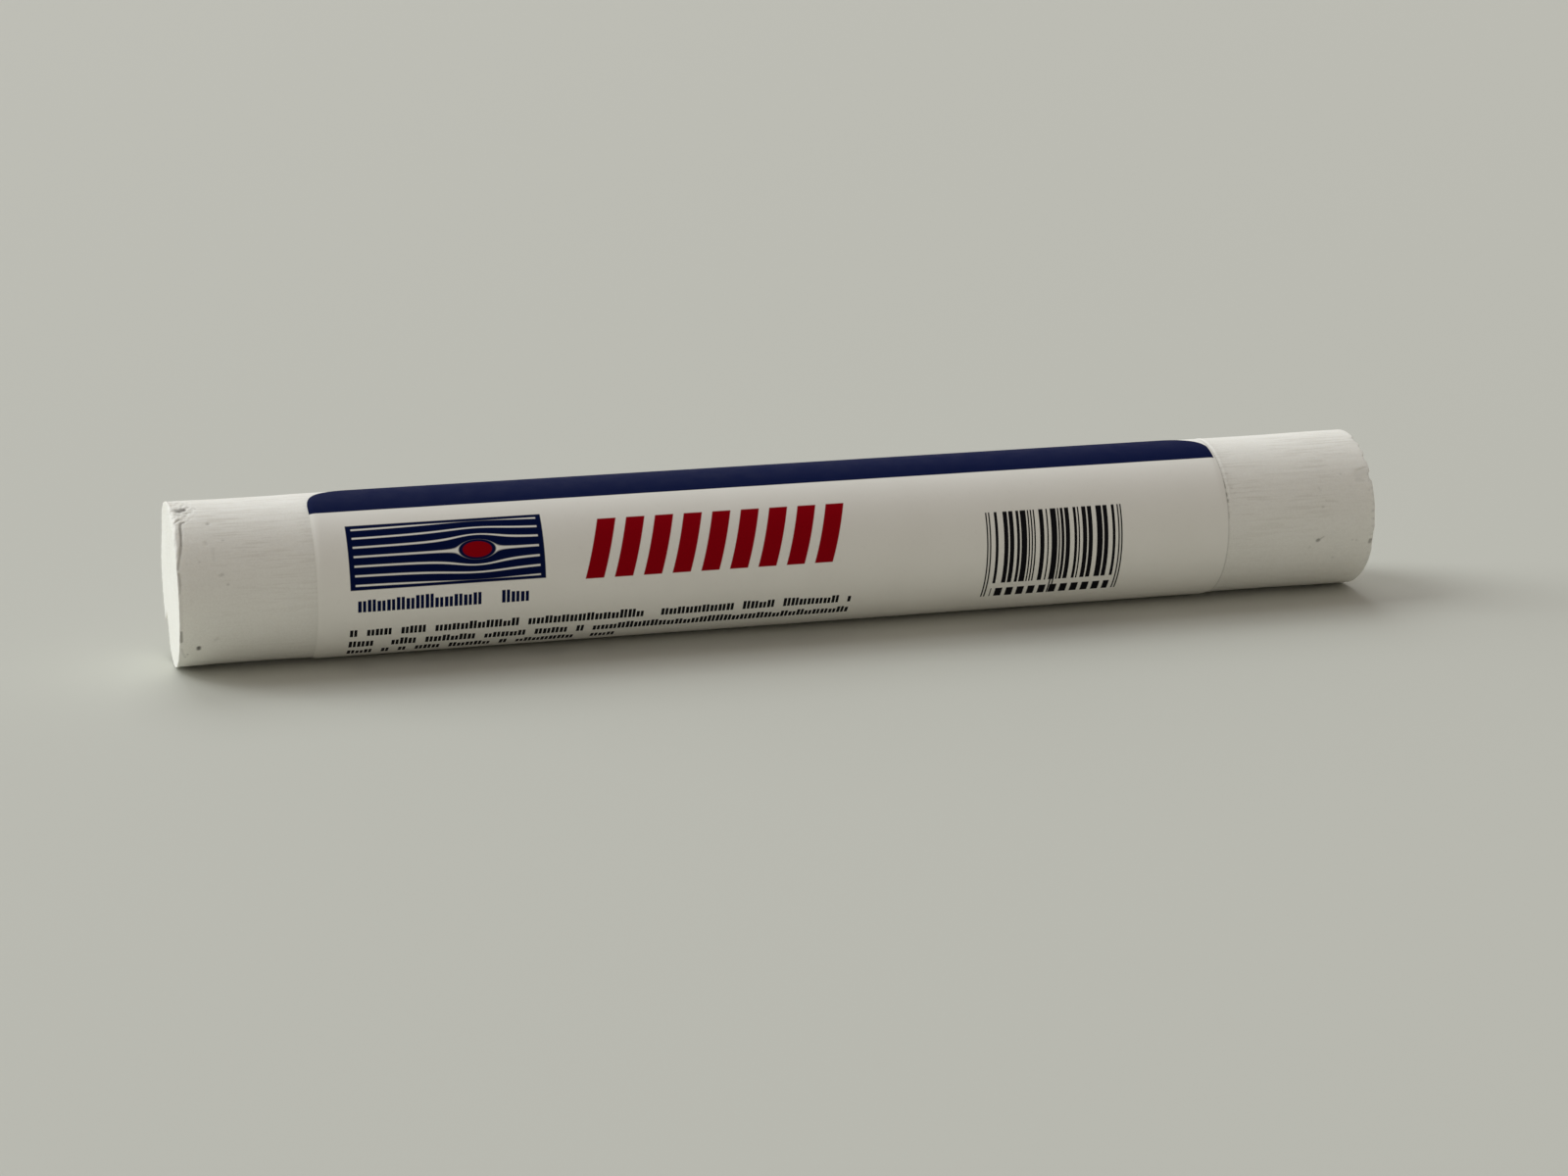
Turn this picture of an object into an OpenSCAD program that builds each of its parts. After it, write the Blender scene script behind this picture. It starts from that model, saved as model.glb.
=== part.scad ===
// Furniture repair wax stick: a round stick of hard blended wax with a die-cut film label wrapped
// round its middle. The stick lies along X with the label resting on the floor, its trimmed end
// at -X and its worn end at +X, and the label is read from -Y. Lengths are in millimetres.

/* [Wax stick] */
// Length over both end faces
stick_length = 97.4; // [60:0.2:160]
// Diameter of the bare wax
stick_diameter = 12.7; // [8:0.1:25]

/* [Trimmed end] */
// How far the lip that the knife turned out stands proud of the wax
lip_height = 0.06; // [0.02:0.01:0.2]
// Thickness of that lip along the stick
lip_thickness = 0.15; // [0.05:0.01:0.4]
// Length over which the lip runs out into the wax
lip_runout = 0.3; // [0.1:0.01:0.8]

/* [Worn end] */
// Radius that handling has left on the rim
worn_rim_radius = 0.3; // [0.1:0.05:1]

/* [Label] */
// Thickness of the film with its adhesive
film_thickness = 0.1; // [0.05:0.01:0.3]
// Bare wax between the trimmed end and the label
trimmed_end_bare = 10.4; // [5:0.1:20]
// Bare wax between the label and the worn end
worn_end_bare = 13; // [5:0.1:20]
// Bare strip between the label's two long edges, measured round the stick
seam_gap = 2.1; // [1:0.1:5]
// Radius of the label's die-cut corners
label_corner_radius = 3.4; // [1:0.1:4]
// Where the label's upper edge lies, in degrees: 0 is underneath, 90 the back and 180 the top
label_edge_angle = 171.5; // [120:0.5:200]

/* [Hidden] */
$fn = 96;

// How far a cutter runs past what it cuts
overrun = 1;
// Steps in the rounded rim, and in each rounded corner of the label
rim_steps = 6;
corner_steps = 10;

wax_radius = stick_diameter / 2;
label_radius = wax_radius + film_thickness;
label_length = stick_length - trimmed_end_bare - worn_end_bare;
gap_angle = seam_gap / label_radius * 180 / PI;
wrap_angle = 360 - gap_angle;
corner_angle = label_corner_radius / label_radius * 180 / PI;
// The rounded corner measured straight across instead of round the film
corner_chord = 2 * label_radius * sin(corner_angle / 2);

// Lays down along X what is built up Z from the trimmed end. Turning about Z then starts from
// underneath and goes up the back and over the top.
module lie_down() {
  translate([-stick_length / 2, 0, label_radius]) rotate([0, 90, 0]) children();
}

// The stick's section as distance from its axis and place along it. At the trimmed end the
// flat face runs out onto a lip, and at the worn end the rim is rounded.
trimmed_end = [
  [0, 0],
  [wax_radius + lip_height, 0],
  [wax_radius + lip_height, lip_thickness],
  [wax_radius, lip_thickness + lip_runout]
];
worn_end = [
  for (step = [0 : rim_steps])
    let (turn = 90 * step / rim_steps)
    [
      wax_radius - worn_rim_radius * (1 - cos(turn)),
      stick_length - worn_rim_radius * (1 - sin(turn))
    ]
];

module wax_stick() {
  color("#e9e7dc")
  lie_down()
  rotate_extrude()
  polygon(concat(trimmed_end, worn_end, [[0, stick_length]]));
}

// Where a rounded corner of the label is cut, in the plane of the film, from its centre
function on_corner(turn) = corner_chord * [cos(turn), sin(turn)];

// What the die takes off one corner of the label, pointing out from the axis through the
// middle of that corner. From the upper edge, side is 1 round the stick and -1 back from the
// lower edge, and end is -1 at the trimmed end and 1 at the worn end. The first and last of
// the short cuts that round the corner run on straight past the film's edges.
module corner_offcut(side, end) {
  edge = label_edge_angle + (side > 0 ? 0 : wrap_angle);
  middle = trimmed_end_bare + label_length / 2;
  turn = 90 / corner_steps;
  first_cut = on_corner(0) - on_corner(turn);
  run_in = on_corner(0) + first_cut * overrun / norm(first_cut);
  run_out = [run_in.y, run_in.x];
  corner = [for (step = [1 : corner_steps - 1]) on_corner(step * turn)];
  beyond = (corner_chord + overrun) * [1, 1];
  rotate([0, 0, edge + side * corner_angle / 2])
  translate([0, side * corner_chord / 2, middle + end * (label_length / 2 - corner_chord)])
  rotate([0, 90, 0])
  linear_extrude(label_radius + overrun)
  polygon([for (point = concat([run_in], corner, [run_out, beyond]))
    [-end * point.x, -side * point.y]]);
}

// One sheet of film wound once round the wax, which stays bare between its long edges
module wrap_label() {
  color("#f1efe8")
  lie_down()
  difference() {
    rotate([0, 0, label_edge_angle])
    rotate_extrude(angle = wrap_angle)
    translate([wax_radius, trimmed_end_bare])
    square([film_thickness, label_length]);

    for (side = [-1, 1])
      for (end = [-1, 1])
        corner_offcut(side, end);
  }
}

wax_stick();
wrap_label();
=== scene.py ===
import math

import bpy
import numpy as np
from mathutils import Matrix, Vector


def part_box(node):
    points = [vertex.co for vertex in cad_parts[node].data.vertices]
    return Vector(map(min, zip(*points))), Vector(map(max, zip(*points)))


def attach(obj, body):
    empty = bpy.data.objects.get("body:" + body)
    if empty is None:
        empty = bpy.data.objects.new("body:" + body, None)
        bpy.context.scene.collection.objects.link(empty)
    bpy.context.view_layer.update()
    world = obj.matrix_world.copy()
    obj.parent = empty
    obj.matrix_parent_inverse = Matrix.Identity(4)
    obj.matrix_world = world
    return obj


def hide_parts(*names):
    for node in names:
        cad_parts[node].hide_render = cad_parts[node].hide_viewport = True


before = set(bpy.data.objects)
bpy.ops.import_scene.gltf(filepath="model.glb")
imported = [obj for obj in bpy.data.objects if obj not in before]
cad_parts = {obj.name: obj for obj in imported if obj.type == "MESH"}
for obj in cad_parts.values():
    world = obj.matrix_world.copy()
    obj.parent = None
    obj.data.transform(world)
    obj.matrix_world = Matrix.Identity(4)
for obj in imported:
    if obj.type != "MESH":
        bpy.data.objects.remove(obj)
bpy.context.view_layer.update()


# The view: a long lens in front of the stick, a little beyond its left end and above it, that
# looks to the right and down. Across a picture 1600 pixels wide it has a focal length of 3560
# pixels.
PICTURE_WIDTH_PX = 1600
FOCAL_LENGTH_PX = 3560
VIEW_FROM = (-0.0730, -0.2614, 0.0736)
VIEW_TURN = math.radians(-15.62)
VIEW_DIP = math.radians(14.63)
SENSOR_WIDTH_MM = 36
CLIP_NEAR = 0.01
CLIP_FAR = 20

lens = bpy.data.cameras.new("view")
lens.sensor_width = SENSOR_WIDTH_MM
lens.lens = SENSOR_WIDTH_MM * FOCAL_LENGTH_PX / PICTURE_WIDTH_PX
lens.clip_start = CLIP_NEAR
lens.clip_end = CLIP_FAR
view = bpy.data.objects.new("view", lens)
view.location = VIEW_FROM
view.rotation_euler = (math.pi / 2 - VIEW_DIP, 0, VIEW_TURN)
bpy.context.scene.collection.objects.link(view)
bpy.context.scene.camera = view
bpy.context.scene.view_settings.view_transform = "Standard"


# The floor that the stick lies on: one plain, pale, matt sheet that runs past the view on all
# sides.
FLOOR_COLOUR = (0.56, 0.567, 0.508, 1)
FLOOR_ROUGHNESS = 0.7
FLOOR_SHINE = 0.2
FLOOR_HALF = 3.0

floor_mesh = bpy.data.meshes.new("floor")
floor_corners = [(-1, -1), (1, -1), (1, 1), (-1, 1)]
floor_places = [(FLOOR_HALF * x, FLOOR_HALF * y, 0) for x, y in floor_corners]
floor_mesh.from_pydata(floor_places, [], [(0, 1, 2, 3)])
floor = bpy.data.objects.new("floor", floor_mesh)
bpy.context.scene.collection.objects.link(floor)

floor_finish = bpy.data.materials.new("floor")
floor_finish.use_nodes = True
floor_shader = floor_finish.node_tree.nodes["Principled BSDF"]
floor_shader.inputs["Base Color"].default_value = FLOOR_COLOUR
floor_shader.inputs["Roughness"].default_value = FLOOR_ROUGHNESS
floor_shader.inputs["Specular IOR Level"].default_value = FLOOR_SHINE
floor_mesh.materials.append(floor_finish)


# The light: an even, pale room and three broad soft windows, a low and a high one beyond the
# stick's left end and a weaker one behind its middle. The side that faces the view is left in
# gentle shade. Each window is a name, how high it stands and how far it is turned to the left
# from straight behind, both in degrees, its level and its colour.
ROOM_COLOUR = (1.0, 0.91, 0.86, 1)
ROOM_STRENGTH = 0.33
SEEN_ROOM_STRENGTH = 0.7
WINDOW_WIDTH = math.radians(35)
WINDOWS = [
    ("low_window", 12, 60, 0.395, (0.955, 1.0, 1.025)),
    ("left_window", 48, 60, 0.35, (0.955, 1.0, 1.025)),
    ("back_window", 48, 0, 0.23, (0.955, 1.0, 1.025)),
]

room = bpy.data.worlds.new("room")
room.use_nodes = True
bpy.context.scene.world = room
room_nodes = room.node_tree.nodes
room_light = room_nodes["Background"]
room_light.inputs["Color"].default_value = ROOM_COLOUR
room_light.inputs["Strength"].default_value = ROOM_STRENGTH

# What the view and the reflections see of the room is brighter than what it lights with
room_seen = room_nodes.new("ShaderNodeBackground")
room_seen.inputs["Color"].default_value = ROOM_COLOUR
room_seen.inputs["Strength"].default_value = SEEN_ROOM_STRENGTH
ray = room_nodes.new("ShaderNodeLightPath")
shown = ray.outputs["Is Camera Ray"]
for other in ("Is Glossy Ray", "Is Transmission Ray"):
    either = room_nodes.new("ShaderNodeMath")
    either.operation = "MAXIMUM"
    room.node_tree.links.new(shown, either.inputs[0])
    room.node_tree.links.new(ray.outputs[other], either.inputs[1])
    shown = either.outputs[0]
choice = room_nodes.new("ShaderNodeMixShader")
room.node_tree.links.new(shown, choice.inputs["Fac"])
room.node_tree.links.new(room_light.outputs["Background"], choice.inputs[1])
room.node_tree.links.new(room_seen.outputs["Background"], choice.inputs[2])
room.node_tree.links.new(choice.outputs["Shader"], room_nodes["World Output"].inputs["Surface"])

for name, height, turned, level, colour in WINDOWS:
    lamp = bpy.data.lights.new(name, "SUN")
    lamp.angle = WINDOW_WIDTH
    lamp.energy = math.pi * level
    lamp.color = colour
    window = bpy.data.objects.new(name, lamp)
    window.rotation_euler = (math.radians(height - 90), 0, math.radians(turned))
    bpy.context.scene.collection.objects.link(window)


# The stick: one casting of hard, off-white blended wax. It was drawn out of its mould, which
# left fine lines along it, and cut off with a knife at its left end, which turned out a thin,
# ragged lip. Its right end is worn and nibbled round the rim.
MM = 0.001
FILM_THICKNESS = 0.1
stick_low, stick_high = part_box("wax_stick")
label_low, label_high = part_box("wrap_label")
STICK_LENGTH = (stick_high.x - stick_low.x) / MM
LABEL_RADIUS = (label_high.z - label_low.z) / 2 / MM
LIP_RADIUS = (stick_high.z - stick_low.z) / 2 / MM
AXIS_HEIGHT = (label_low.z + label_high.z) / 2
WAX_RADIUS = LABEL_RADIUS - FILM_THICKNESS
LABEL_START = (label_low.x - stick_low.x) / MM
LABEL_END = (label_high.x - stick_low.x) / MM


def on_stick(along, around, radius):
    """Points in metres from how far they lie along the stick from its trimmed end and how far
    from its axis, in millimetres, and from their angle round it: 0 is the front and a quarter
    turn is the top."""
    x = stick_low.x + MM * along
    y = -MM * radius * np.cos(around)
    z = AXIS_HEIGHT + MM * radius * np.sin(around)
    return np.stack(np.broadcast_arrays(x, y, z), axis=-1)


def ease(value, start, end):
    """0 before start and 1 after end, with a smooth step between them."""
    share = np.clip((value - start) / (end - start), 0, 1)
    return share * share * (3 - 2 * share)


def bell(value, middle, half):
    """1 at the middle value, falling to 0 on both sides. At half away it has fallen to about a
    third: e to the power of minus the square of how many halves away the value lies."""
    return np.exp(-(((value - middle) / half) ** 2))


def degrees_from(around, middle):
    """How far an angle lies from the middle one, in degrees from -180 to 180."""
    return (np.degrees(around) - middle + 180) % 360 - 180


def ripple(around, fewest, most, seed):
    """A random wavy line that closes on itself round the stick: a sum of cosines, each with a
    whole number of waves from fewest to most and a random height and phase. It keeps mostly
    between -1 and 1."""
    random = np.random.default_rng(seed)
    waves = np.arange(fewest, most + 1)
    height = random.normal(size=waves.size) / math.sqrt(waves.size)
    phase = random.uniform(0, 2 * math.pi, waves.size)
    return (height * np.cos(waves * around[..., None] + phase)).sum(axis=-1)


MOTTLE_WAVES = 26


def mottle(along, around, grain, seed):
    """A bumpy sheet round the stick, mostly between -1 and 1: a sum of waves about as long as the
    grain, in millimetres, that run every way with random phases."""
    random = np.random.default_rng(seed)
    total = 0
    for heading in random.uniform(0, math.pi, MOTTLE_WAVES):
        length = grain * random.uniform(0.7, 1.6)
        waves = round(2 * math.pi * WAX_RADIUS * math.sin(heading) / length)
        phase = random.uniform(0, 2 * math.pi)
        lengthwise = 2 * math.pi * along * math.cos(heading) / length
        total = total + np.cos(lengthwise + waves * around + phase)
    return total / math.sqrt(MOTTLE_WAVES)


# Each row is a mark in the wax: where it starts and ends, each along the stick in millimetres
# and round it in degrees, its half width, its depth and how dark it is painted, with dirt in
# most and with painted shade in the groove behind the flap and on the scraped flat.
MARKS = [
    # The pit, flecks and cut in the dent at the trimmed end
    (0.72, 75.8, 0.98, 76.4, 0.35, 0.04, 0.74),
    (1.14, 76.4, 1.18, 77.4, 0.18, 0.05, 0.80),
    (1.69, 77.1, 1.95, 78.8, 0.10, 0.02, 0.20),
    (2.00, 76.7, 2.00, 76.7, 0.10, 0.03, 0.22),
    (1.34, 71.3, 1.59, 72.6, 0.09, 0.02, 0.16),
    (1.10, 67.6, 1.10, 67.6, 0.12, 0.02, 0.12),
    (0.24, 60.4, 0.62, 64.2, 0.09, 0.05, 0.30),
    # The groove behind the flap, with its hooked top, darkened with painted shade from the lip
    (0.96, 61.0, 0.72, 60.0, 0.11, 0.05, 0.40),
    (0.72, 60.0, 0.63, 56.0, 0.11, 0.05, 0.58),
    (0.63, 56.0, 0.60, 49.0, 0.11, 0.05, 0.62),
    (0.60, 49.0, 0.52, 41.0, 0.10, 0.05, 0.54),
    (0.52, 41.0, 0.38, 34.5, 0.11, 0.06, 0.40),
    (0.38, 34.5, 0.20, 28.5, 0.10, 0.05, 0.32),
    (0.20, 28.5, 0.10, 24.0, 0.10, 0.05, 0.40),
    (0.14, 21.0, 0.18, 13.0, 0.11, 0.04, 0.38),
    (0.18, 13.0, 0.10, 8.0, 0.10, 0.03, 0.30),
    (0.12, 7.0, 0.10, -18.0, 0.18, 0.01, 0.12),
    (0.10, -21.0, 0.14, -29.0, 0.14, 0.05, 0.62),
    (0.16, -36.0, 0.46, -47.0, 0.09, 0.02, 0.16),
    (0.66, -43.7, 0.66, -43.7, 0.10, 0.02, 0.34),
    (0.51, -47.1, 0.51, -47.1, 0.10, 0.02, 0.30),
    # Flecks on the bare wax at the trimmed end
    (1.48, -36.4, 1.48, -38.0, 0.17, 0.05, 0.95),
    (2.71, 58.0, 2.71, 58.0, 0.15, 0.03, 0.34),
    (2.33, 42.5, 2.40, 41.5, 0.16, 0.02, 0.13),
    (3.67, 43.3, 3.67, 43.3, 0.09, 0.02, 0.26),
    (2.90, 37.0, 2.86, 29.0, 0.12, 0.02, 0.07),
    (1.75, 28.2, 1.75, 28.2, 0.11, 0.02, 0.14),
    (3.20, 18.2, 3.40, 18.6, 0.12, 0.02, 0.20),
    (3.75, 11.8, 3.75, 11.8, 0.10, 0.02, 0.28),
    (2.68, -30.0, 2.86, -29.0, 0.14, 0.02, 0.12),
    (6.50, 150.0, 6.62, 151.5, 0.16, 0.05, 0.50),
    # Adhesive beside the label's right end
    (84.47, 39.0, 84.50, 33.5, 0.07, 0.01, 0.26),
    (84.50, 29.5, 84.51, 27.5, 0.08, 0.01, 0.38),
    (84.53, 24.0, 84.54, 22.8, 0.08, 0.01, 0.32),
    (84.52, 15.0, 84.53, 11.0, 0.05, 0.01, 0.20),
    # Flecks on the bare wax at the worn end
    (92.36, -10.8, 92.46, -10.4, 0.15, 0.06, 0.64),
    (92.58, -9.6, 92.88, -8.0, 0.07, 0.03, 0.26),
    (95.45, -12.0, 95.45, -12.0, 0.09, 0.02, 0.20),
    (95.82, -12.5, 95.82, -12.5, 0.09, 0.02, 0.16),
    (97.05, -15.0, 97.12, -12.8, 0.13, 0.06, 0.62),
    (92.76, 14.5, 92.76, 14.5, 0.12, 0.02, 0.22),
    (93.97, -26.4, 93.97, -26.4, 0.11, 0.02, 0.16),
    (91.69, -16.5, 91.72, -15.4, 0.10, 0.02, 0.12),
    (94.71, 38.2, 94.71, 38.2, 0.11, 0.02, 0.16),
    (92.70, 26.8, 92.58, 29.2, 0.09, 0.02, 0.12),
    (96.97, 24.6, 96.97, 24.6, 0.09, 0.02, 0.16),
    (94.07, 17.6, 93.10, 19.0, 0.10, 0.01, 0.08),
    (90.20, 215.0, 90.40, 217.0, 0.18, 0.05, 0.45),
    # The flat that was scraped at the worn rim, darkened with painted shade below the nibbles
    (96.25, 40.7, 97.05, 42.6, 0.10, 0.03, 0.15),
    (96.35, 36.5, 96.95, 37.2, 0.52, 0.03, 0.09),
    (96.05, 33.0, 96.60, 32.6, 0.22, 0.02, 0.12),
]
# The places in a row of a mark's depth and of how dark it is painted
MARK_DEPTH = 5
MARK_DIRT_AND_SHADE = 6


def stroke(along, around, mark):
    """How strongly a mark is felt: 1 over its width and 0 beyond, with soft sides, from the
    distance to the nearest point of the straight line from its start to its end."""
    start_along, start_around, end_along, end_around, half = mark[:5]
    x = along - start_along
    y = np.radians(degrees_from(around, start_around)) * WAX_RADIUS
    run_x = end_along - start_along
    run_y = math.radians(end_around - start_around) * WAX_RADIUS
    share = np.clip((x * run_x + y * run_y) / max(run_x**2 + run_y**2, 1e-9), 0, 1)
    away = np.hypot(x - share * run_x, y - share * run_y)
    return np.exp(-((away / half) ** 4))


def strongest_mark(along, around, effect):
    """The largest of what the marks leave at each point: each mark's stroke times the number at
    the effect's place in its row, which is its depth or its dirt."""
    return np.max([mark[effect] * stroke(along, around, mark) for mark in MARKS], axis=0)


DENT_ALONG = 0.9
DENT_AROUND = 78
DENT_HALF_LENGTH = 1.05
DENT_HALF_DEGREES = 18.5


def dent(along, around):
    """Where the wax was knocked in over the trimmed end's upper front: 1 inside a patch with a
    bumpy outline and 0 outside."""
    lengthwise = (along - DENT_ALONG) / DENT_HALF_LENGTH
    from_middle = np.hypot(lengthwise, degrees_from(around, DENT_AROUND) / DENT_HALF_DEGREES)
    return 1 - ease(from_middle + 0.13 * mottle(along, around, 0.7, 17), 0.6, 1.1)


# How far the folded flap reaches along the stick, at angles round it
FLAP_AT = [22, 33, 41, 50, 60, 64]
FLAP_REACH = [0, 0.10, 0.26, 0.34, 0.42, 0]


def lip_thickness(around):
    """How far the lip reaches along the stick: a thin ragged line, and on the upper front a flap
    that was folded over and widens upwards."""
    ragged = 0.12 + 0.04 * ripple(around, 9, 40, 3)
    return ragged + np.interp(degrees_from(around, 0), FLAP_AT, FLAP_REACH)


# How far the face's rim is rolled over onto the side, at angles round the stick
ROLLED_AT = [-60, -30, 10, 18, 21, 27, 32, 37, 42, 47, 56, 63, 72, 84, 96, 110]
ROLLED_REACH = [
    0.02, 0.04, 0.04, 0.06, 0.01, 0.09, 0.12, 0.14,
    0.20, 0.16, 0.22, 0.30, 0.28, 0.14, 0.03, 0,
]

# Heights, depths and places of the forms in the side of the stick, and how steeply its rolled
# rim falls. The side lies inset a little, so that no wave in it stands proud, and it keeps a
# little below the lip of the CAD solid and the film.
SIDE_INSET = 0.012
DRAG_HEIGHT = 0.0035
BROAD_HEIGHT = 0.006
BUMP_HEIGHT = 0.003
LIP_RUNOUT = 0.10
FLARE_HEIGHT = 0.055
FLARE_FROM = 89.5
FLARE_FULL = 95.5
WAIST_DEPTH = 0.035
WAIST_FROM = 1.0
WAIST_FULL = 4.0
HOLLOW_DEPTH = 0.015
HOLLOW_WIDTH = 0.16
RIDGE_HEIGHT = 0.028
RIDGE_WIDTH = 0.14
RIDGE_PAST_LABEL = 0.38
ROLLED_STEEPNESS = 0.9
CLEAR_OF_LIP = 0.002
CLEAR_OF_FILM = 0.01


def wax_surface(along, around):
    """Distance from the axis to the wax, in millimetres: the plain radius with shallow waves and
    with drag lines that come and go along the stick, a lip, a rolled edge and the dent at the
    trimmed end, a slight waist before the label, a hollow and then a low ridge past the label's
    right end, a slight flare towards the worn end, and the deepest mark at that point. Under
    the label it stays clear of the film."""
    fading = 0.6 + 0.4 * np.cos(along / 2.9 + 3 * ripple(around, 1, 4, 5))
    drag = DRAG_HEIGHT * ripple(around, 40, 90, 7) * fading
    broad = BROAD_HEIGHT * ripple(around, 3, 16, 11)
    bumps = BUMP_HEIGHT * mottle(along, around, 0.9, 29)
    radius = WAX_RADIUS - SIDE_INSET + drag + broad + bumps

    thickness = lip_thickness(around)
    lip_height = (LIP_RADIUS - WAX_RADIUS) * (0.72 + 0.2 * ripple(around, 5, 30, 13))
    lip = lip_height * (1 - ease(along, thickness, thickness + LIP_RUNOUT))
    flare = FLARE_HEIGHT * ease(along, FLARE_FROM, FLARE_FULL)
    past_label = along - LABEL_END
    hollow = HOLLOW_DEPTH * bell(past_label, 0, HOLLOW_WIDTH)
    ridge = RIDGE_HEIGHT * bell(past_label, RIDGE_PAST_LABEL, RIDGE_WIDTH)
    beside = (hollow - ridge) * (along > LABEL_END)
    before_label = 1 - ease(along, LABEL_START - 2.5, LABEL_START - 0.3)
    waist = WAIST_DEPTH * ease(along, WAIST_FROM, WAIST_FULL) * before_label
    reach = np.interp(degrees_from(around, 0), ROLLED_AT, ROLLED_REACH)
    reach = reach * (1 + 0.12 * ripple(around, 12, 40, 41))
    rolled = ROLLED_STEEPNESS * np.maximum(reach - along, 0)

    radius = radius + lip + flare - beside - rolled - waist
    radius = radius - dent(along, around) * (0.03 + 0.02 * mottle(along, around, 0.4, 19))
    radius = radius - strongest_mark(along, around, MARK_DEPTH)
    radius = np.minimum(radius, LIP_RADIUS - CLEAR_OF_LIP)
    covered = ease(along, LABEL_START - 0.05, LABEL_START)
    covered = covered * (1 - ease(along, LABEL_END, LABEL_END + 0.05))
    return radius * (1 - covered) + np.minimum(radius, WAX_RADIUS - CLEAR_OF_FILM) * covered


def dirt_and_shade(along, around):
    """How dark the wax is, from 0 to 1, from dirt and painted shade: what the marks hold, a little
    darker in the dent, a trace over the folded flap, painted shade in the step beside the label's
    right end with a few specks of adhesive, and darker patches over the front of the worn rim."""
    held = dent(along, around) * (0.05 + 0.05 * np.maximum(mottle(along, around, 0.35, 23), 0))

    thickness = lip_thickness(around)
    on_flap = bell(degrees_from(around, 48), 0, 14) * (1 - ease(along, thickness, thickness + 0.1))
    held = held + on_flap * (0.01 + 0.06 * np.maximum(mottle(along, around, 0.3, 31), 0))

    past_label = along - LABEL_END
    # Painted shade: a thin dark line in the step beside the label's right end, where its edge shades the
    # wax
    held = held + 0.20 * bell(past_label, 0.06, 0.09)
    specks = np.maximum(mottle(along, around, 0.45, 37) - 0.6, 0)
    held = held + 0.3 * specks * bell(degrees_from(around, 36), 0, 18) * bell(past_label, 0.3, 0.4)

    rubbed = np.maximum(mottle(along, around, 0.5, 43) - 0.1, 0)
    rubbed = rubbed * bell(along - STICK_LENGTH, -0.2, 0.16)
    held = held + 0.22 * rubbed * bell(degrees_from(around, 2), 0, 34)
    held = held + strongest_mark(along, around, MARK_DIRT_AND_SHADE)
    return np.clip(held, 0, 1)


# How deep the chip out of the trimmed end's lower back edge is, at angles round the stick
CHIP_AT = [218.6, 219.4, 228, 246, 277, 290]
CHIP_DEPTH = [0, 0.28, 0.14, 0.06, 0.03, 0]
LOW_PLACE_DEPTH = 0.08
TRIMMED_INSET = 0.014


def trimmed_recess(across, up):
    """How far the cut face lies behind the stick's left end, in millimetres, from a point's place
    on it: the knife's fine ridges, a shallow low place at the upper back, and at the lower back
    a chip whose upper side is a sharp step."""
    ridges = 0.006 * np.sin(up * 7.1 + 1.4 * np.sin(across * 0.5)) + 0.004 * np.sin(up * 15.7 + across)
    around = np.degrees(np.arctan2(up, -across)) % 360
    low_place = LOW_PLACE_DEPTH * bell(around, 152, 17)
    chip = np.interp(around, CHIP_AT, CHIP_DEPTH)
    near_rim = ease(np.hypot(across, up), WAX_RADIUS - 1.5, WAX_RADIUS - 0.5)
    return TRIMMED_INSET + ridges + (low_place + chip) * near_rim


# Each row is a nibble out of the worn rim: where it lies round the stick and its half width,
# both in degrees, and its depth. The deepest ones are at the upper front.
NIBBLES = [
    (72.5, 4.0, 0.16),
    (62.5, 2.0, 0.09),
    (51.5, 2.8, 0.13),
    (36, 3.2, 0.15),
    (5, 6, 0.04),
    (-12, 8, 0.08),
    (-58, 10, 0.05),
    (120, 9, 0.06),
    (160, 5, 0.12),
    (-110, 6, 0.10),
]
WORN_INSET = 0.009


def worn_recess(across, up):
    """How far the worn face lies behind the stick's right end, in millimetres: faint rubbing
    marks, and the nibbles out of the rim, each with soft sides and a flat bottom."""
    rubbed = 0.005 * np.sin(across * 5.3 + 2.1 * np.sin(up * 0.9)) + 0.003 * np.sin(up * 11 - across * 3)
    around = np.arctan2(up, -across)
    nibbled = 0
    for middle, half, depth in NIBBLES:
        nibbled = nibbled + depth * np.exp(-((degrees_from(around, middle) / half) ** 6))
    near_rim = ease(np.hypot(across, up), WAX_RADIUS - 0.9, WAX_RADIUS - 0.1)
    return WORN_INSET + rubbed + nibbled * near_rim


# The worn rim's radius, how far before the right end the side's even rings stop, and how far
# along the side the hills and hollows of the two faces run out
RIM_RADIUS = 0.12
EVEN_RINGS_STOP = 0.3
FACE_RUNOUT = 3.0


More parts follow.
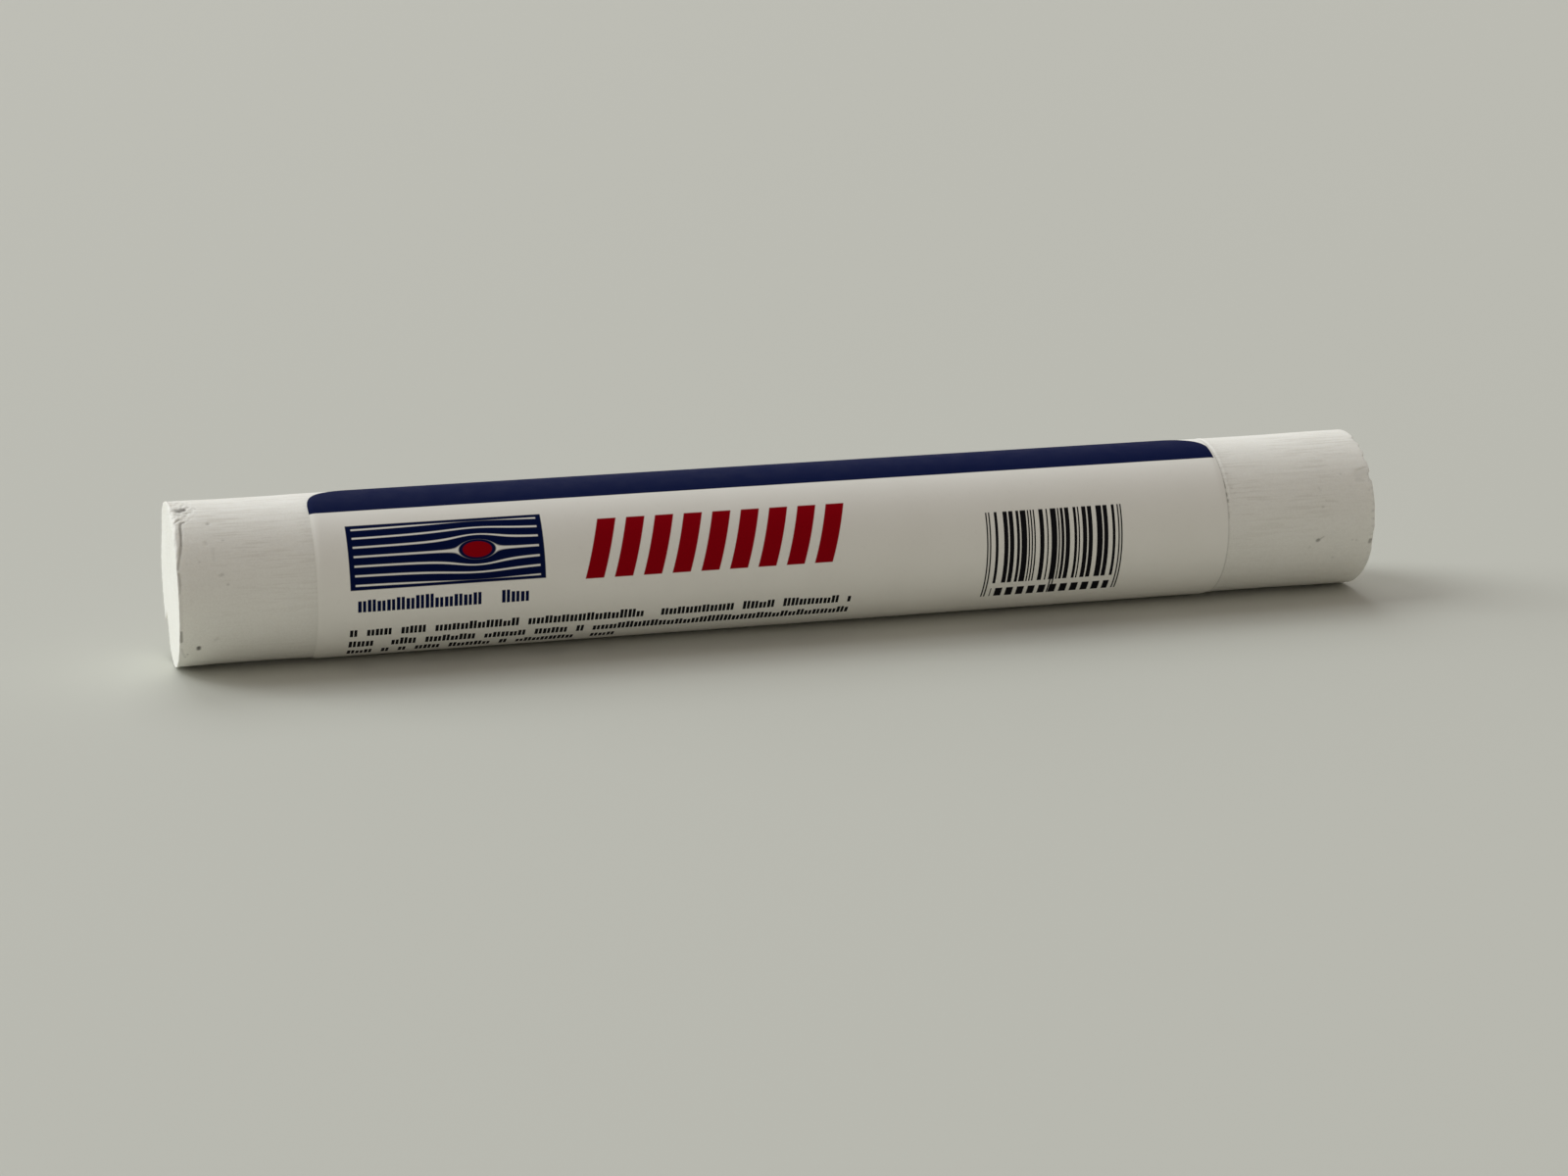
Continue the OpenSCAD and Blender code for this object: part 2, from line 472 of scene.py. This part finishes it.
def stick_rings():
    """Places along the stick, angles and distances from its axis of all its rings, one row a
    ring: out over the trimmed face, along the side in steps that are short where the wax is
    bare, round the worn rim and in over the worn face. The points of a ring lie closer together
    over the front and the top than underneath."""
    upper = np.linspace(-80, 110, 300, endpoint=False)
    lower = np.linspace(110, 280, 180, endpoint=False)
    around = np.radians(np.concatenate([upper, lower]))
    shares = np.concatenate([np.linspace(0.06, 0.9, 12), [0.94, 0.97, 0.99]])

    rim = wax_surface(np.zeros((1, around.size)), around)
    face_radius = shares[:, None] * rim
    face_along = trimmed_recess(-face_radius * np.cos(around), face_radius * np.sin(around))

    bare_left = np.concatenate([
        np.linspace(0, 2.1, 31),
        np.linspace(2.2, 4.0, 19),
        np.linspace(4.3, LABEL_START - 1.1, 13),
    ])
    covered = np.concatenate([
        np.linspace(LABEL_START - 0.8, LABEL_START + 0.1, 10),
        np.linspace(LABEL_START + 6, LABEL_END - 6, 7),
        LABEL_END + np.array([-0.1, 0, 0.06, 0.12, 0.18, 0.24, 0.3, 0.36, 0.42, 0.5, 0.6, 0.8, 1.1]),
    ])
    bare_right = np.concatenate([
        np.linspace(LABEL_END + 1.6, 91.2, 12),
        np.linspace(91.4, STICK_LENGTH - EVEN_RINGS_STOP, 56),
        [STICK_LENGTH - RIM_RADIUS],
    ])
    side = np.concatenate([bare_left, covered, bare_right])[:, None] + 0 * around
    side_radius = wax_surface(side, around)
    left_recess = trimmed_recess(-rim * np.cos(around), rim * np.sin(around))
    side = side + left_recess * np.clip(1 - side / FACE_RUNOUT, 0, 1)

    turn = np.linspace(0, math.pi / 2, 8)[1:, None]
    round_along = STICK_LENGTH - RIM_RADIUS * (1 - np.sin(turn)) + 0 * around
    worn_radius = side_radius[-1:]
    round_radius = worn_radius - RIM_RADIUS * (1 - np.cos(turn))
    right_recess = worn_recess(-worn_radius * np.cos(around), worn_radius * np.sin(around))
    from_right = np.clip(1 - (STICK_LENGTH - side) / FACE_RUNOUT, 0, 1)
    side = side - right_recess * from_right
    round_along = round_along - right_recess

    back_radius = shares[::-1, None] * round_radius[-1:]
    back_recess = worn_recess(-back_radius * np.cos(around), back_radius * np.sin(around))

    along = np.concatenate([face_along, side, round_along, STICK_LENGTH - back_recess])
    radius = np.concatenate([face_radius, side_radius, round_radius, back_radius])
    return along, np.broadcast_to(around, along.shape), radius


def closed_tube(points, first_pole, last_pole):
    """Points and faces of a closed skin: the rings of points joined by four-sided faces, and each
    end ring joined to its pole by a fan. Faces point outwards where the rings run along +X and
    each ring turns from the front over the top."""
    rings, turns = points.shape[:2]
    ring, turn = np.meshgrid(np.arange(rings - 1), np.arange(turns), indexing="ij")
    after = (turn + 1) % turns
    quads = np.stack([
        ring * turns + turn,
        (ring + 1) * turns + turn,
        (ring + 1) * turns + after,
        ring * turns + after,
    ], axis=-1).reshape(-1, 4)
    here = np.arange(turns)
    following = (here + 1) % turns
    first, last = rings * turns, rings * turns + 1
    start_fan = np.stack([np.full(turns, first), here, following], axis=-1)
    end_row = (rings - 1) * turns
    end_fan = np.stack([np.full(turns, last), end_row + following, end_row + here], axis=-1)
    places = np.concatenate([points.reshape(-1, 3), [first_pole, last_pole]])
    return places, quads.tolist() + start_fan.tolist() + end_fan.tolist()


def make_piece(name, places, faces, sharp_angle):
    """A new object whose mesh has these points and faces, smooth but for edges that turn by more
    than the sharp angle."""
    mesh = bpy.data.meshes.new(name)
    mesh.from_pydata(places.tolist(), [], faces)
    mesh.shade_smooth()
    mesh.set_sharp_from_angle(angle=sharp_angle)
    piece = bpy.data.objects.new(name, mesh)
    bpy.context.scene.collection.objects.link(piece)
    return piece


along, around, radius = stick_rings()
left_pole = on_stick(trimmed_recess(0.0, 0.0), 0.0, 0.0)
right_pole = on_stick(STICK_LENGTH - worn_recess(0.0, 0.0), 0.0, 0.0)
places, faces = closed_tube(on_stick(along, around, radius), left_pole, right_pole)
stick = make_piece("cast_wax", places, faces, math.radians(50))

# The two faces and their middle points are left clear: dirt and painted shade are held only
# where the wax lies a little in from the stick's two ends.
POLES_DIRT_AND_SHADE = [0, 0]
dirt_and_shade_layer = stick.data.attributes.new("dirt_and_shade", "FLOAT", "POINT")
on_side = (along > 0.05) & (along < STICK_LENGTH - 0.06)
rings_dirt_and_shade = np.where(on_side, dirt_and_shade(along, around), 0).ravel()
dirt_and_shade_layer.data.foreach_set("value", np.concatenate([rings_dirt_and_shade, POLES_DIRT_AND_SHADE]).astype(np.float32))


def calculate(tree, operation, *values):
    """One Math node in the tree. Each value is a number or the output of another node."""
    node = tree.nodes.new("ShaderNodeMath")
    node.operation = operation
    for socket, value in zip(node.inputs, values):
        if isinstance(value, bpy.types.NodeSocket):
            tree.links.new(value, socket)
        else:
            socket.default_value = value
    return node.outputs[0]


def noise(tree, vector, scale, detail):
    """One Noise Texture node over that vector. Its output runs from 0 to 1, mostly near a half."""
    node = tree.nodes.new("ShaderNodeTexNoise")
    node.inputs["Scale"].default_value = scale
    node.inputs["Detail"].default_value = detail
    tree.links.new(vector, node.inputs["Vector"])
    return node.outputs["Fac"]


def spread(tree, value, low, high, to_low, to_high):
    """A Map Range node: what runs from low to high becomes to_low to to_high, and goes no
    further."""
    node = tree.nodes.new("ShaderNodeMapRange")
    tree.links.new(value, node.inputs["Value"])
    node.inputs["From Min"].default_value = low
    node.inputs["From Max"].default_value = high
    node.inputs["To Min"].default_value = to_low
    node.inputs["To Max"].default_value = to_high
    return node.outputs["Result"]


def blend_colour(tree, share, first, second):
    """A Mix node between two colours, which go into its sockets 6 and 7. Each is four numbers or
    the output of another node."""
    node = tree.nodes.new("ShaderNodeMix")
    node.data_type = "RGBA"
    tree.links.new(share, node.inputs["Factor"])
    for socket, colour in zip((node.inputs[6], node.inputs[7]), (first, second)):
        if isinstance(colour, bpy.types.NodeSocket):
            tree.links.new(colour, socket)
        else:
            socket.default_value = colour
    return node.outputs[2]


def stretched(tree, vector, stretch):
    """A Mapping node that scales the vector by those three numbers."""
    node = tree.nodes.new("ShaderNodeMapping")
    node.inputs["Scale"].default_value = stretch
    tree.links.new(vector, node.inputs["Vector"])
    return node.outputs["Vector"]


def apart(tree, vector):
    """The three parts of a vector, as three outputs."""
    node = tree.nodes.new("ShaderNodeSeparateXYZ")
    tree.links.new(vector, node.inputs[0])
    return node.outputs[0], node.outputs[1], node.outputs[2]


def add_bump(tree, shader, height, distance, strength):
    """A Bump node between the height and the shader's normal. The distance is in metres."""
    bump = tree.nodes.new("ShaderNodeBump")
    bump.inputs["Distance"].default_value = distance
    bump.inputs["Strength"].default_value = strength
    tree.links.new(height, bump.inputs["Height"])
    tree.links.new(bump.outputs["Normal"], shader.inputs["Normal"])


def new_group(name, inputs, outputs):
    """An empty shader node group with those sockets, and its input and output nodes. Each socket
    is a name and a kind."""
    group = bpy.data.node_groups.new(name, "ShaderNodeTree")
    for socket_name, kind in inputs:
        group.interface.new_socket(socket_name, in_out="INPUT", socket_type="NodeSocket" + kind)
    for socket_name, kind in outputs:
        group.interface.new_socket(socket_name, in_out="OUTPUT", socket_type="NodeSocket" + kind)
    return group, group.nodes.new("NodeGroupInput"), group.nodes.new("NodeGroupOutput")


def use_group(tree, group, **values):
    """The group placed in a tree, with its inputs set from numbers or other nodes' outputs."""
    node = tree.nodes.new("ShaderNodeGroup")
    node.node_tree = group
    for name, value in values.items():
        if isinstance(value, bpy.types.NodeSocket):
            tree.links.new(value, node.inputs[name])
        else:
            node.inputs[name].default_value = value
    return node.outputs[0]


# Handling leaves both the wax and the film a little uneven in tone: wide faint clouds, and fine
# grey flecks of dust. A noise's scale is about how many of its waves go into a metre.
CLOUD_SCALE = 190
FLECK_SCALE = 2600
HANDLING_SOCKETS = [("Place", "Vector"), ("Clouds", "Float"), ("Flecks", "Float")]
handling, handled, handling_out = new_group("handling", HANDLING_SOCKETS, [("Mask", "Float")])
wide = noise(handling, handled.outputs["Place"], CLOUD_SCALE, 3)
wide = spread(handling, wide, 0.35, 0.7, 0, 1)
fine = noise(handling, handled.outputs["Place"], FLECK_SCALE, 1)
fine = spread(handling, fine, 0.66, 0.76, 0, 1)
soft = calculate(handling, "MULTIPLY", wide, handled.outputs["Clouds"])
dusty = calculate(handling, "MULTIPLY", fine, handled.outputs["Flecks"])
handling.links.new(calculate(handling, "ADD", soft, dusty), handling_out.inputs["Mask"])

# The wax is a little darker in streaks along it, painted shade of its drag lines, which come and
# go over its length and are strongest on its upper side, where the light shows them; and it is a
# little darker in its fine grain.
WAX_COLOUR = (0.94, 0.94, 0.87, 1)
WAX_SHADE = (0.76, 0.745, 0.67, 1)
DIRT_AND_SHADE_COLOUR = (0.14, 0.13, 0.11, 1)
WAX_SHINE = 0.4
WAX_CLEARNESS = 0.12
WAX_CLEAR_RADIUS = (1.0, 0.95, 0.85)
WAX_CLEAR_SCALE = 0.0012
WAX_RELIEF = 0.000012
WAX_ROUGHNESS = (0.5, 0.62)
DRAWN_OUT = (0.055, 1, 1)
DRAG_SCALE = 3600
STREAK_SCALE = 5400
PATCH_SCALE = 260
GRAIN_SCALE = 6500
STREAKS_FADED_BELOW = 0.0050
STREAKS_FULL_ABOVE = 0.0095

wax = bpy.data.materials.new("wax")
wax.use_nodes = True
tree = wax.node_tree
shader = tree.nodes["Principled BSDF"]
place = tree.nodes.new("ShaderNodeTexCoord").outputs["Object"]
held_dirt_and_shade = tree.nodes.new("ShaderNodeAttribute")
held_dirt_and_shade.attribute_name = "dirt_and_shade"
marks = use_group(tree, handling, Place=place, Clouds=0.16, Flecks=0.10)
drawn = stretched(tree, place, DRAWN_OUT)
drag_lines = noise(tree, drawn, DRAG_SCALE, 2)
streaks = spread(tree, noise(tree, drawn, STREAK_SCALE, 3), 0.5, 0.57, 0, 0.44)
coming_and_going = spread(tree, noise(tree, place, PATCH_SCALE, 1), 0.42, 0.58, 0.15, 1)
streaks = calculate(tree, "MULTIPLY", streaks, coming_and_going)
# Painted shade: the streaks are kept mostly to the upper side, where the light shows the drag lines
_, _, height = apart(tree, place)
lit_upper_side = spread(tree, height, STREAKS_FADED_BELOW, STREAKS_FULL_ABOVE, 0.22, 1)
streaks = calculate(tree, "MULTIPLY", streaks, lit_upper_side)
grain = noise(tree, place, GRAIN_SCALE, 2)
streaks = calculate(tree, "ADD", streaks, spread(tree, grain, 0.35, 0.65, 0, 0.22))
tone = blend_colour(tree, calculate(tree, "ADD", marks, streaks), WAX_COLOUR, WAX_SHADE)
# The attribute darkens the wax with dirt, and with painted shade in the groove, on the scraped flat and
# beside the label's right end
colour = blend_colour(tree, held_dirt_and_shade.outputs["Fac"], tone, DIRT_AND_SHADE_COLOUR)
tree.links.new(colour, shader.inputs["Base Color"])
roughness = spread(tree, drag_lines, 0.3, 0.7, *WAX_ROUGHNESS)
tree.links.new(roughness, shader.inputs["Roughness"])
shader.inputs["Specular IOR Level"].default_value = WAX_SHINE
shader.inputs["Subsurface Weight"].default_value = WAX_CLEARNESS
shader.inputs["Subsurface Radius"].default_value = WAX_CLEAR_RADIUS
shader.inputs["Subsurface Scale"].default_value = WAX_CLEAR_SCALE
relief = calculate(tree, "MULTIPLY_ADD", drag_lines, 1.6, grain)
add_bump(tree, shader, relief, WAX_RELIEF, 0.6)
stick.data.materials.append(wax)

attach(stick, "root")
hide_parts("wax_stick")


# The label: one sheet of white film with adhesive on its back, die-cut with round corners,
# printed in three inks and wound round the wax. Its edges are pressed down onto the wax, and a
# bare strip is left between its two long edges at the back.
CORNER = 3.4
SEAM = 2.1
UPPER_EDGE = math.radians(98.5)
LABEL_LENGTH = LABEL_END - LABEL_START
LABEL_WIDTH = 2 * math.pi * LABEL_RADIUS - SEAM

# How far in from the label's ends its points are set closely, how deep and how broadly its
# edges are pressed down, and how uneven its middle is
FINE_STEPS = 6.0
PRESSED_DEPTH = 0.075
PRESSED_WIDTH = 0.22
UNEVEN_DEPTH = 0.004


def edge_distance(u, v):
    """How far a point of the flat label lies inside its outline, in millimetres. Distances are
    taken from the sides, and within a corner's square from the corner's arc."""
    side_u = CORNER - np.minimum(u, LABEL_LENGTH - u)
    side_v = CORNER - np.minimum(v, LABEL_WIDTH - v)
    in_corner = CORNER - np.hypot(np.maximum(side_u, 0), np.maximum(side_v, 0))
    return np.where((side_u > 0) & (side_v > 0), in_corner, CORNER - np.maximum(side_u, side_v))


def label_sheet():
    """The flat label as rows of points, u along it and v down from its upper edge, in
    millimetres. Near its edges the points are close together, and near the long ones each row
    starts and ends on the arc of a corner."""
    arc = CORNER * (1 - np.cos(np.linspace(0, math.pi / 2, 22)))
    middle = np.linspace(CORNER, LABEL_WIDTH - CORNER, 112)[1:-1]
    v = np.concatenate([arc, middle, LABEL_WIDTH - arc[::-1]])[:, None]
    near_edge = np.minimum(v, LABEL_WIDTH - v)
    inset = CORNER - np.sqrt(np.maximum(CORNER**2 - np.maximum(CORNER - near_edge, 0) ** 2, 0))
    step_in = FINE_STEPS * np.linspace(0, 1, 15) ** 2.4
    between = np.linspace(FINE_STEPS, LABEL_LENGTH - FINE_STEPS, 26)[1:-1]
    u = np.concatenate([step_in, between, LABEL_LENGTH - step_in[::-1]])[None, :]
    return inset + u * (LABEL_LENGTH - 2 * inset) / LABEL_LENGTH, v + 0 * u


def closed_sheet(outer, inner):
    """Points and faces of a thin sheet: its outer and inner grids of points, joined by a wall all
    round. The outer grid's rows run down the sheet and its columns along it."""
    rows, columns = outer.shape[:2]
    size = rows * columns
    number = np.arange(size).reshape(rows, columns)

    def skin(index):
        corners = [index[:-1, :-1], index[1:, :-1], index[1:, 1:], index[:-1, 1:]]
        return np.stack(corners, axis=-1).reshape(-1, 4)

    def wall(edge):
        return np.stack([edge[:-1], edge[1:], edge[1:] + size, edge[:-1] + size], axis=-1)

    inside = skin(number)[:, ::-1] + size
    edges = [number[0, :], number[:, -1], number[-1, ::-1], number[::-1, 0]]
    faces = np.concatenate([skin(number), inside, *(wall(edge) for edge in edges)])
    return np.concatenate([outer.reshape(-1, 3), inner.reshape(-1, 3)]), faces.tolist()


u, v = label_sheet()
inside_edge = edge_distance(u, v)
pressed = PRESSED_DEPTH * bell(inside_edge, 0, PRESSED_WIDTH)
uneven = UNEVEN_DEPTH * (1 + np.sin(u * 0.9 + 2 * np.sin(v * 0.7))) * ease(inside_edge, 0, 2)
outer_radius = LABEL_RADIUS - pressed - uneven * (inside_edge > 0.5)
label_around = UPPER_EDGE - v / LABEL_RADIUS
outer = on_stick(LABEL_START + u, label_around, outer_radius)
inner = on_stick(LABEL_START + u, label_around, WAX_RADIUS + 0 * u)
places, faces = closed_sheet(outer, inner)
label = make_piece("film_label", places, faces, math.radians(40))

flat = label.data.uv_layers.new(name="flat_label")
corner_points = np.empty(len(label.data.loops), dtype=np.int32)
label.data.loops.foreach_get("vertex_index", corner_points)
flat_places = np.tile(np.stack([u, v], axis=-1).reshape(-1, 2), (2, 1))
flat.data.foreach_set("uv", flat_places[corner_points].astype(np.float32).ravel())

# Half the width of an ink's soft edge, in millimetres
INK_EDGE = 0.03


def within(tree, value, low, high):
    """1 where the value lies between low and high and 0 elsewhere, with the soft edge of ink."""
    middle = calculate(tree, "MULTIPLY", calculate(tree, "ADD", low, high), 0.5)
    half = calculate(tree, "MULTIPLY", calculate(tree, "SUBTRACT", high, low), 0.5)
    away = calculate(tree, "ABSOLUTE", calculate(tree, "SUBTRACT", value, middle))
    return spread(tree, calculate(tree, "SUBTRACT", half, away), -INK_EDGE, INK_EDGE, 0, 1)


def random_cell(tree, value, seed):
    """A random number from 0 to 1 for each whole number that the value passes."""
    node = tree.nodes.new("ShaderNodeTexWhiteNoise")
    node.noise_dimensions = "2D"
    both = tree.nodes.new("ShaderNodeCombineXYZ")
    tree.links.new(calculate(tree, "FLOOR", value), both.inputs[0])
    if isinstance(seed, bpy.types.NodeSocket):
        tree.links.new(seed, both.inputs[1])
    else:
        both.inputs[1].default_value = seed
    tree.links.new(both.outputs[0], node.inputs["Vector"])
    return node.outputs["Value"]


# A printed block with square corners
BLOCK_SOCKETS = [
    ("Place", "Vector"),
    ("Left", "Float"),
    ("Right", "Float"),
    ("Top", "Float"),
    ("Bottom", "Float"),
]
block, block_in, block_out = new_group("printed block", BLOCK_SOCKETS, [("Ink", "Float")])
block_u, block_v, _ = apart(block, block_in.outputs["Place"])
block_across = within(block, block_u, block_in.outputs["Left"], block_in.outputs["Right"])
block_down = within(block, block_v, block_in.outputs["Top"], block_in.outputs["Bottom"])
block.links.new(calculate(block, "MULTIPLY", block_across, block_down), block_out.inputs["Ink"])

# A line of fine print: upright ticks, two to a cell, in groups as long as words. A random
# number for each cell leaves some of them empty, and another cuts the ticks down by up to a third.
GAP_SHARE = 0.15
LARGEST_CUT = 0.34
SECOND_SEED = 40
TICKS_SOCKETS = [*BLOCK_SOCKETS, ("Pitch", "Float"), ("Seed", "Float")]
ticks, ticks_in, ticks_out = new_group("row of ticks", TICKS_SOCKETS, [("Ink", "Float")])
ticks_u, ticks_v, _ = apart(ticks, ticks_in.outputs["Place"])
ticks_from = calculate(ticks, "SUBTRACT", ticks_u, ticks_in.outputs["Left"])
cell = calculate(ticks, "DIVIDE", ticks_from, ticks_in.outputs["Pitch"])
in_cell = calculate(ticks, "FRACT", cell)
chance = random_cell(ticks, cell, ticks_in.outputs["Seed"])
in_word = calculate(ticks, "GREATER_THAN", chance, GAP_SHARE)
second_seed = calculate(ticks, "ADD", ticks_in.outputs["Seed"], SECOND_SEED)
height_share = spread(ticks, random_cell(ticks, cell, second_seed), 0, 1, 0, LARGEST_CUT)
tick_height = calculate(ticks, "SUBTRACT", ticks_in.outputs["Bottom"], ticks_in.outputs["Top"])
tick_top = calculate(ticks, "MULTIPLY_ADD", tick_height, height_share, ticks_in.outputs["Top"])
tick_down = within(ticks, ticks_v, tick_top, ticks_in.outputs["Bottom"])
first_tick = calculate(ticks, "COMPARE", in_cell, 0.26, 0.19)
second_tick = calculate(ticks, "COMPARE", in_cell, 0.74, 0.17)
tick_across = calculate(ticks, "MAXIMUM", first_tick, second_tick)
in_row = within(ticks, ticks_u, ticks_in.outputs["Left"], ticks_in.outputs["Right"])
tick_ink = calculate(ticks, "MULTIPLY", tick_across, calculate(ticks, "MULTIPLY", tick_down, in_row))
ticks.links.new(calculate(ticks, "MULTIPLY", tick_ink, in_word), ticks_out.inputs["Ink"])

# The film and its three inks
NAVY = (0.0022, 0.0070, 0.048, 1)
RED = (0.32, 0.0003, 0.006, 1)
BLACK = (0.009, 0.009, 0.011, 1)
FILM_COLOUR = (0.96, 0.955, 0.885, 1)
FILM_SHADE = (0.80, 0.785, 0.71, 1)
FILM_SHINE = 0.02
FILM_RELIEF = 0.00002
FILM_ROUGHNESS = (0.5, 0.6)
FILM_PATCH_SCALE = 900
FILM_WAVE_SCALE = 700

film = bpy.data.materials.new("printed_film")
film.use_nodes = True
tree = film.node_tree
shader = tree.nodes["Principled BSDF"]
place = tree.nodes.new("ShaderNodeTexCoord").outputs["Object"]
flat_node = tree.nodes.new("ShaderNodeUVMap")
flat_node.uv_map = "flat_label"
spot = flat_node.outputs["UV"]
spot_u, spot_v, _ = apart(tree, spot)

marks = use_group(tree, handling, Place=place, Clouds=0.12, Flecks=0.10)
colour = blend_colour(tree, marks, FILM_COLOUR, FILM_SHADE)

# The navy band along the upper edge
band = use_group(tree, block, Place=spot, Left=-1, Right=73.9, Top=0.06, Bottom=4.27)
colour = blend_colour(tree, band, colour, NAVY)

# The navy plank. Its grain lines flow round a red knot as water does round a pole: they are
# numbered by the distance below the knot, times 1 less the square of the knot's radius over the
# square of the distance from the knot, with distances along the label shortened.
KNOT_U = 12.4
KNOT_V = 8.33
KNOT_STRETCH = 0.55
KNOT_RADIUS = 0.75
GRAIN_PITCH = 0.72
plank = use_group(tree, block, Place=spot, Left=2.5, Right=17.6, Top=5.75, Bottom=10.9)
plank_inner = use_group(tree, block, Place=spot, Left=2.9, Right=17.2, Top=6.0, Bottom=10.65)
from_u = calculate(tree, "MULTIPLY", calculate(tree, "SUBTRACT", spot_u, KNOT_U), KNOT_STRETCH)
from_v = calculate(tree, "SUBTRACT", spot_v, KNOT_V)
squared = calculate(tree, "MULTIPLY_ADD", from_u, from_u, calculate(tree, "MULTIPLY", from_v, from_v))
parted = calculate(tree, "DIVIDE", KNOT_RADIUS**2, calculate(tree, "MAXIMUM", squared, 0.01))
flow = calculate(tree, "MULTIPLY", from_v, calculate(tree, "SUBTRACT", 1.0, parted))
flow = calculate(tree, "DIVIDE", flow, GRAIN_PITCH)
to_line = calculate(tree, "ABSOLUTE", calculate(tree, "SUBTRACT", calculate(tree, "FRACT", flow), 0.5))
grain_line = spread(tree, to_line, 0.36, 0.44, 0, 1)
knot_distance = calculate(tree, "SQRT", squared)
outside_knot = spread(tree, knot_distance, KNOT_RADIUS + 0.02, KNOT_RADIUS + 0.08, 0, 1)
knot = spread(tree, knot_distance, KNOT_RADIUS - 0.16, KNOT_RADIUS - 0.1, 1, 0)
grain_line = calculate(tree, "MULTIPLY", grain_line, outside_knot)
grain_line = calculate(tree, "MULTIPLY", grain_line, plank_inner)
colour = blend_colour(tree, plank, colour, NAVY)
colour = blend_colour(tree, grain_line, colour, FILM_COLOUR)
colour = blend_colour(tree, knot, colour, RED)

# The row of slanting red bars beside the plank
BARS_LEFT = 21.3
BARS_TOP = 6.5
BARS_BOTTOM = 11.2
BARS_MIDDLE = 8.86
BAR_COUNT = 9
BAR_PITCH = 2.3
BAR_SHARE = 0.66
BAR_START = 0.05
BAR_SLANT = 0.28
from_middle = calculate(tree, "SUBTRACT", spot_v, BARS_MIDDLE)
row_u = calculate(tree, "MULTIPLY_ADD", from_middle, BAR_SLANT, spot_u)
bar_place = calculate(tree, "DIVIDE", calculate(tree, "SUBTRACT", row_u, BARS_LEFT), BAR_PITCH)
bar_inside = calculate(tree, "MULTIPLY", calculate(tree, "FRACT", bar_place), BAR_PITCH)
bars = within(tree, bar_inside, BAR_START, BAR_PITCH * BAR_SHARE)
bars_across = within(tree, row_u, BARS_LEFT, BARS_LEFT + BAR_COUNT * BAR_PITCH)
bars = calculate(tree, "MULTIPLY", bars, bars_across)
bars = calculate(tree, "MULTIPLY", bars, within(tree, spot_v, BARS_TOP, BARS_BOTTOM))
colour = blend_colour(tree, bars, colour, RED)

# One line of navy ticks under the plank, then three lines of black ones. Each is where it
# starts and ends along the label, its top, its bottom, its pitch, its seed and its ink.
TICK_LINES = [
    (3.0, 17.0, 11.5, 12.7, 0.74, 3, NAVY),
    (2.45, 42.4, 14.15, 15.1, 0.66, 7, BLACK),
    (2.45, 42.4, 15.6, 16.55, 0.66, 11, BLACK),
    (2.45, 23.6, 17.0, 17.95, 0.66, 19, BLACK),
]
for left, right, top, bottom, pitch, seed, ink in TICK_LINES:
    line = use_group(tree, ticks, Place=spot, Left=left, Right=right, Top=top, Bottom=bottom,
                     Pitch=pitch, Seed=seed)
    colour = blend_colour(tree, line, colour, ink)

# The stock code: bars of random width, longer pairs at both ends and in the middle, and a row
# of plain blocks at its foot
CODE_LEFT = 53.35
CODE_TOP = 8.1
CODE_BOTTOM = 14.2
CODE_FOOT = 15.75
MODULE = 0.121
MODULES = 95
CODE_MARGIN = 3 * MODULE
CODE_SEED = 124
WHITE_SHARE = 0.47
LONG_BARS = (0, 2, 46, 48, 92, 94)
BLOCKS_TOP = 14.75
BLOCKS_MARGIN = 0.7
BLOCK_PITCH = 0.92
code_right = CODE_LEFT + MODULE * MODULES
from_left = calculate(tree, "SUBTRACT", spot_u, CODE_LEFT)
chance = random_cell(tree, calculate(tree, "DIVIDE", from_left, MODULE), CODE_SEED)
random_bars = calculate(tree, "GREATER_THAN", chance, WHITE_SHARE)
code = use_group(tree, block, Place=spot, Left=CODE_LEFT + CODE_MARGIN,
                 Right=code_right - CODE_MARGIN, Top=CODE_TOP, Bottom=CODE_BOTTOM)
code = calculate(tree, "MULTIPLY", code, random_bars)
for module in LONG_BARS:
    left = CODE_LEFT + module * MODULE
    long_bar = use_group(tree, block, Place=spot, Left=left, Right=left + MODULE,
                         Top=CODE_TOP, Bottom=CODE_FOOT)
    code = calculate(tree, "MAXIMUM", code, long_bar)
block_place = calculate(tree, "DIVIDE", from_left, BLOCK_PITCH)
blocks = within(tree, calculate(tree, "FRACT", block_place), 0.2, 0.85)
row = use_group(tree, block, Place=spot, Left=CODE_LEFT + BLOCKS_MARGIN,
                Right=code_right - BLOCKS_MARGIN, Top=BLOCKS_TOP, Bottom=CODE_FOOT)
code = calculate(tree, "MAXIMUM", code, calculate(tree, "MULTIPLY", blocks, row))
colour = blend_colour(tree, code, colour, BLACK)

tree.links.new(colour, shader.inputs["Base Color"])
roughness = spread(tree, noise(tree, place, FILM_PATCH_SCALE, 3), 0.3, 0.7, *FILM_ROUGHNESS)
tree.links.new(roughness, shader.inputs["Roughness"])
shader.inputs["Specular IOR Level"].default_value = FILM_SHINE
add_bump(tree, shader, noise(tree, place, FILM_WAVE_SCALE, 3), FILM_RELIEF, 0.5)
label.data.materials.append(film)

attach(label, "root")
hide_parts("wrap_label")
